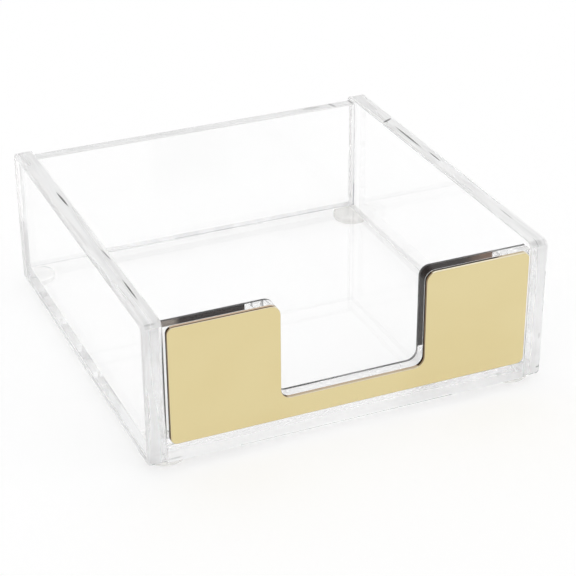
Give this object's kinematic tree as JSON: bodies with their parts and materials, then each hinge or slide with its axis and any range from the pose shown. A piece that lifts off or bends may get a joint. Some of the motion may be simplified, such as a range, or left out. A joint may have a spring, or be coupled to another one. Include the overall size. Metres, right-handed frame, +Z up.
{
  "type": "memo pad tray",
  "caption": "Open clear tray for a pad of square notes, with a finger notch in its front, a thin gold mirror plate with the same notch, and round feet.",
  "frame": {"origin": "middle of the surface that the tray stands on, below the middle of its overall box", "axes": "+X to the right seen from the front, +Y from the notched front to the back, +Z up"},
  "size_m": [0.095, 0.0958, 0.0358],
  "materials": {
    "clear_acrylic": "gloss",
    "gold_mirror": "polished",
    "adhesive_film": "matte",
    "clear_foot": "gloss"
  },
  "bodies": {
    "root": {"left_side_panel": "clear_acrylic", "right_side_panel": "clear_acrylic", "base_panel": "clear_acrylic", "back_panel": "clear_acrylic", "front_panel": "clear_acrylic", "gold_front_plate": "gold_mirror", "plate_film_left": "adhesive_film", "plate_film_right": "adhesive_film", "foot_front_left": "clear_foot", "foot_front_right": "clear_foot", "foot_back_left": "clear_foot", "foot_back_right": "clear_foot"}
  },
  "joints": []
}
